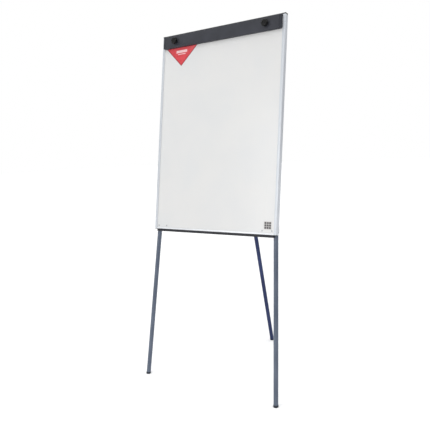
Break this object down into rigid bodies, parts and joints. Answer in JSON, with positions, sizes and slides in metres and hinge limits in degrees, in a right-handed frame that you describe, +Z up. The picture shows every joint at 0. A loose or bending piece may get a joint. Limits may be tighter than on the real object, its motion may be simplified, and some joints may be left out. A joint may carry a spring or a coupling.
{
  "type": "flipchart easel",
  "caption": "Tripod flipchart easel: framed white board with a paper clamp bar held by knobs, on telescopic tube legs.",
  "frame": {"origin": "the point of the floor under the middle of the whole easel as it stands open", "axes": "+Z up, +X to the right of a reader facing the board, +Y from the reader to the back of the easel"},
  "size_m": [0.764, 0.7366, 1.7472],
  "materials": {
    "enamel": "smooth semi-gloss white enamel",
    "core_board": "matt brown fibreboard",
    "zinc_steel": "zinc plated",
    "frame_aluminium": "satin light silver",
    "graphite_coat": "fine-textured graphite powder coat",
    "black_coat": "fine-textured black powder coat",
    "cap_plastic": "moulded graphite grey, fine spark texture",
    "black_plastic": "moulded satin black",
    "front_leg_paint": "satin blue-grey paint on steel tube",
    "rear_leg_paint": "satin dark blue paint on steel tube",
    "foot_rubber": "matt rubber",
    "red_vinyl": "printed red film",
    "grey_vinyl": "printed grey film"
  },
  "bodies": {
    "board": {"writing_sheet": "enamel", "panel_core": "core_board", "back_sheet": "zinc_steel", "side_profile_left": "frame_aluminium", "side_profile_right": "frame_aluminium", "top_end_cap_left": "black_plastic", "top_end_cap_right": "black_plastic", "bottom_end_cap_left": "black_plastic", "bottom_end_cap_right": "black_plastic", "bottom_profile": "frame_aluminium", "bottom_rail": "black_coat", "top_rail": "black_coat", "corner_rivet_left_inner": "zinc_steel", "corner_rivet_left_outer": "zinc_steel", "corner_rivet_right_inner": "zinc_steel", "corner_rivet_right_outer": "zinc_steel", "corner_sticker": "red_vinyl", "square_label": "grey_vinyl", "stud_nut_left": "zinc_steel", "stud_nut_right": "zinc_steel", "lower_guide_left": "black_plastic", "lower_guide_right": "black_plastic", "upper_guide_left": "black_plastic", "upper_guide_right": "black_plastic", "hinge_bracket": "graphite_coat", "hinge_pin": "zinc_steel", "hinge_pin_clip": "zinc_steel", "bracket_rivet_left": "zinc_steel", "bracket_rivet_right": "zinc_steel"},
    "paper_clamp": {"clamp_bar": "graphite_coat", "clamp_end_cap_left": "cap_plastic", "clamp_end_cap_right": "cap_plastic"},
    "clamp_knob_left": {"knob_left": "black_plastic", "knob_stud_left": "zinc_steel", "knob_washer_left": "black_plastic"},
    "clamp_knob_right": {"knob_right": "black_plastic", "knob_stud_right": "zinc_steel", "knob_washer_right": "black_plastic"},
    "leg_left": {"leg_tube_left": "front_leg_paint", "leg_plug_left": "black_plastic", "foot_left": "foot_rubber"},
    "leg_right": {"leg_tube_right": "front_leg_paint", "leg_plug_right": "black_plastic", "foot_right": "foot_rubber"},
    "leg_lock_left": {"leg_left_lock_knob": "black_plastic", "leg_left_lock_stud": "zinc_steel"},
    "leg_lock_right": {"leg_right_lock_knob": "black_plastic", "leg_right_lock_stud": "zinc_steel"},
    "rear_leg": {"rear_leg_head": "black_plastic", "rear_upper_tube": "rear_leg_paint", "rear_collar": "black_plastic"},
    "rear_extension": {"rear_lower_tube": "rear_leg_paint", "rear_tube_plug": "black_plastic", "foot_rear": "foot_rubber"},
    "rear_lock": {"rear_leg_lock_knob": "black_plastic", "rear_leg_lock_stud": "zinc_steel"}
  },
  "joints": [
    {"name": "clamp_slide", "type": "slide", "parent": "board", "child": "paper_clamp", "axis": [0, -0.9877, 0.1564], "range_m": [0, 0.005]},
    {"name": "knob_left_turn", "type": "hinge", "parent": "paper_clamp", "child": "clamp_knob_left", "pos_m": [-0.2575, -0.11095, 1.70767], "axis": [0, -0.9877, 0.1564], "range_deg": [0, 1440]},
    {"name": "knob_right_turn", "type": "hinge", "parent": "paper_clamp", "child": "clamp_knob_right", "pos_m": [0.2575, -0.11095, 1.70767], "axis": [0, -0.9877, 0.1564], "range_deg": [0, 1440]},
    {"name": "leg_left_slide", "type": "slide", "parent": "board", "child": "leg_left", "axis": [-0.0457, -0.1563, -0.9867], "range_m": [-0.49, 0.08]},
    {"name": "leg_right_slide", "type": "slide", "parent": "board", "child": "leg_right", "axis": [0.0457, -0.1563, -0.9867], "range_m": [-0.49, 0.08]},
    {"name": "leg_left_lock_turn", "type": "hinge", "parent": "board", "child": "leg_lock_left", "pos_m": [-0.33349, -0.23128, 0.78814], "axis": [0.999, -0.0072, -0.0451], "range_deg": [0, 540]},
    {"name": "leg_right_lock_turn", "type": "hinge", "parent": "board", "child": "leg_lock_right", "pos_m": [0.33349, -0.23128, 0.78814], "axis": [-0.999, -0.0072, -0.0451], "range_deg": [0, 540]},
    {"name": "rear_leg_fold", "type": "hinge", "parent": "board", "child": "rear_leg", "pos_m": [0, -0.06729, 1.69569], "axis": [1, 0, 0], "range_deg": [-23, 0]},
    {"name": "rear_extension_slide", "type": "slide", "parent": "rear_leg", "child": "rear_extension", "axis": [0, 0.2421, -0.9702], "range_m": [-0.6, 0.08]},
    {"name": "rear_lock_turn", "type": "hinge", "parent": "rear_leg", "child": "rear_lock", "pos_m": [0, 0.15184, 0.81763], "axis": [1, 0, 0], "range_deg": [0, 540]}
  ],
  "couplings": [
    {"joint": "knob_left_turn", "follows": "clamp_slide", "rad_per_m": 5026.5},
    {"joint": "knob_right_turn", "follows": "clamp_slide", "rad_per_m": 5026.5}
  ]
}
